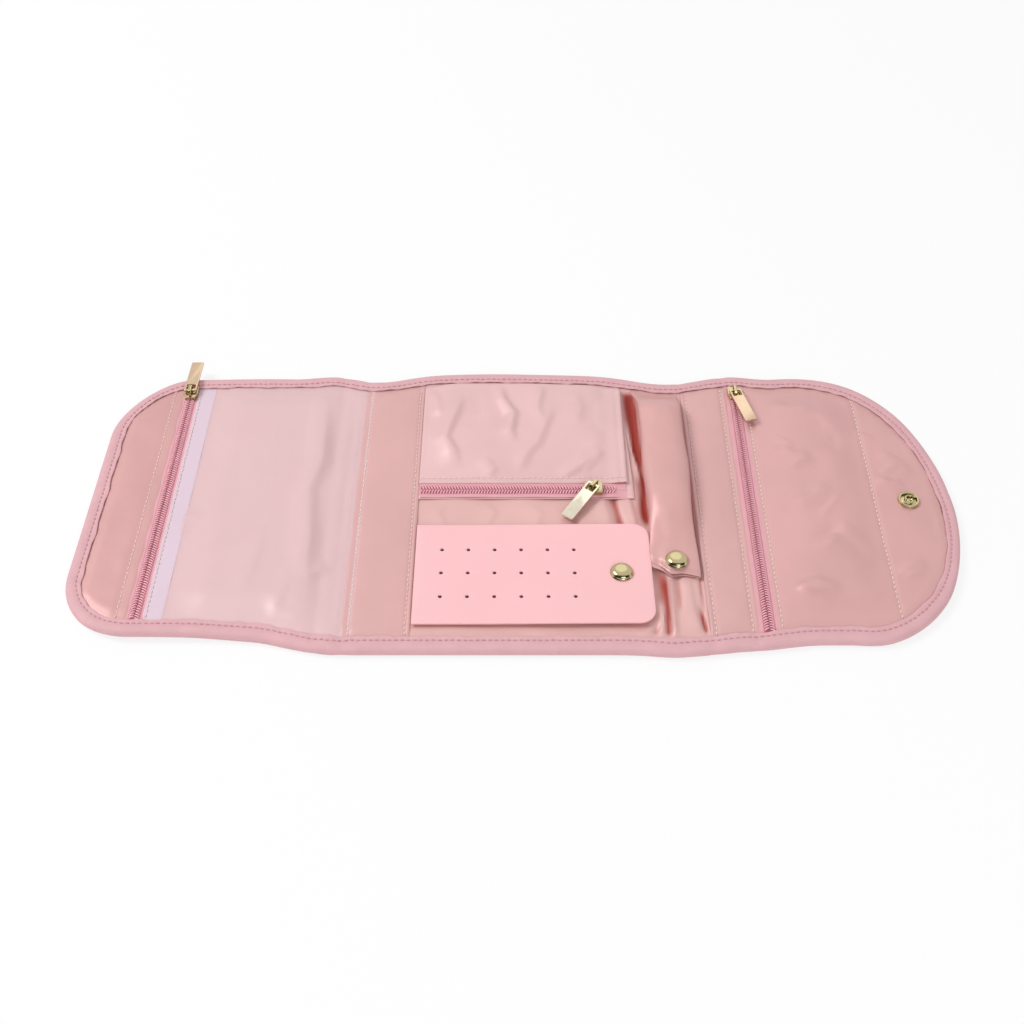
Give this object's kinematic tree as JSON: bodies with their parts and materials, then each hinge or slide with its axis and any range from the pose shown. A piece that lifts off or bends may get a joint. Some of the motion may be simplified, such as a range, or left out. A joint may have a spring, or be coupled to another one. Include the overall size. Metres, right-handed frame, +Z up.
{
  "type": "jewelry roll",
  "caption": "Padded satin jewelry roll that folds over twice and snaps shut, with a window pocket, a zip pouch, a snap-down earring panel, a ring bar and a zip pocket",
  "frame": {"origin": "on the underside of the middle panel, midway across the roll", "axes": "+X along the roll towards the rounded closing flap, +Y away from the user, +Z up out of the lining"},
  "size_m": [0.4925, 0.217, 0.0186],
  "materials": {
    "cover_fabric": "dusty pink woven cover",
    "satin": "dusty pink satin",
    "binding_tape": "pink folded edge tape",
    "foam": "white padding",
    "film": "clear soft film",
    "zip_tape": "pink woven tape",
    "zip_coil": "pink moulded coil",
    "leatherette": "smooth light pink sheet",
    "gold_metal": "pale gold plating"
  },
  "bodies": {
    "middle": {"middle_cover": "cover_fabric", "middle_padding": "foam", "middle_lining": "satin", "middle_binding_front": "binding_tape", "middle_binding_back": "binding_tape", "seam_strip": "satin", "pouch_back": "satin", "pouch_front": "satin", "pouch_zip_tape_outer": "zip_tape", "pouch_zip_tape_inner": "zip_tape", "pouch_zip_coil": "zip_coil", "earring_snap_stud": "gold_metal", "ring_snap_stud": "gold_metal"},
    "pouch_slider": {"pouch_slider": "gold_metal"},
    "pouch_pull": {"pouch_pull": "gold_metal"},
    "earring_flap": {"earring_panel": "leatherette", "earring_snap_cap": "gold_metal", "earring_snap_socket": "gold_metal"},
    "ring_bar": {"ring_bar_sleeve": "satin", "ring_bar_core": "foam", "ring_snap_cap": "gold_metal", "ring_snap_socket": "gold_metal"},
    "left_spine": {"left_spine_cover": "cover_fabric", "left_spine_padding": "foam", "left_spine_lining": "satin", "left_spine_binding_front": "binding_tape", "left_spine_binding_back": "binding_tape", "window_film_edge": "film"},
    "left_panel": {"left_cover": "cover_fabric", "left_padding": "foam", "left_lining": "satin", "left_binding": "binding_tape", "left_end_strip": "satin", "left_zip_tape_outer": "zip_tape", "left_zip_tape_inner": "zip_tape", "left_zip_coil": "zip_coil", "window_hem": "film", "window_film": "film", "closure_snap_stud": "gold_metal"},
    "left_slider": {"left_slider": "gold_metal"},
    "left_pull": {"left_pull": "gold_metal"},
    "right_spine": {"right_spine_cover": "cover_fabric", "right_spine_padding": "foam", "right_spine_lining": "satin", "right_spine_binding_front": "binding_tape", "right_spine_binding_back": "binding_tape"},
    "right_panel": {"right_cover": "cover_fabric", "right_padding": "foam", "right_lining": "satin", "right_binding": "binding_tape", "right_zip_tape_outer": "zip_tape", "right_zip_tape_inner": "zip_tape", "right_zip_coil": "zip_coil", "right_pocket_panel": "satin", "flap_facing": "satin", "closure_snap_socket": "gold_metal", "closure_snap_cap": "gold_metal"},
    "right_slider": {"right_slider": "gold_metal"},
    "right_pull": {"right_pull": "gold_metal"}
  },
  "joints": [
    {"name": "left_inner_fold", "type": "hinge", "parent": "middle", "child": "left_spine", "pos_m": [-0.092, 0, 0.006], "axis": [0, 1, 0], "range_deg": [0, 90]},
    {"name": "left_outer_fold", "type": "hinge", "parent": "left_spine", "child": "left_panel", "pos_m": [-0.107, 0, 0.006], "axis": [0, 1, 0], "range_deg": [0, 90]},
    {"name": "right_inner_fold", "type": "hinge", "parent": "middle", "child": "right_spine", "pos_m": [0.1, 0, 0.006], "axis": [0, -1, 0], "range_deg": [0, 90]},
    {"name": "right_outer_fold", "type": "hinge", "parent": "right_spine", "child": "right_panel", "pos_m": [0.126, 0, 0.006], "axis": [0, -1, 0], "range_deg": [0, 90]},
    {"name": "earring_flap_lift", "type": "hinge", "parent": "middle", "child": "earring_flap", "pos_m": [-0.0567, -0.05675, 0.0072], "axis": [0, 1, 0], "range_deg": [-150, 0]},
    {"name": "ring_bar_lift", "type": "hinge", "parent": "middle", "child": "ring_bar", "pos_m": [0.085, 0.0952, 0.0066], "axis": [1, 0, 0], "range_deg": [-90, 0]},
    {"name": "left_zip_slide", "type": "slide", "parent": "left_panel", "child": "left_slider", "axis": [0, 1, 0], "range_m": [-0.166, 0]},
    {"name": "left_pull_swing", "type": "hinge", "parent": "left_slider", "child": "left_pull", "pos_m": [-0.201, 0.0852, 0.01014], "axis": [-1, 0, 0], "range_deg": [-175, 0]},
    {"name": "right_zip_slide", "type": "slide", "parent": "right_panel", "child": "right_slider", "axis": [0, 1, 0], "range_m": [-0.166, 0]},
    {"name": "right_pull_swing", "type": "hinge", "parent": "right_slider", "child": "right_pull", "pos_m": [0.1326, 0.0852, 0.01014], "axis": [0.9703, 0.2419, 0], "range_deg": [-170, 0]},
    {"name": "pouch_zip_slide", "type": "slide", "parent": "middle", "child": "pouch_slider", "axis": [1, 0, 0], "range_m": [-0.09, 0]},
    {"name": "pouch_pull_swing", "type": "hinge", "parent": "pouch_slider", "child": "pouch_pull", "pos_m": [0.0425, 0.00515, 0.01094], "axis": [0.809, -0.5878, 0], "range_deg": [-110, 0]}
  ]
}
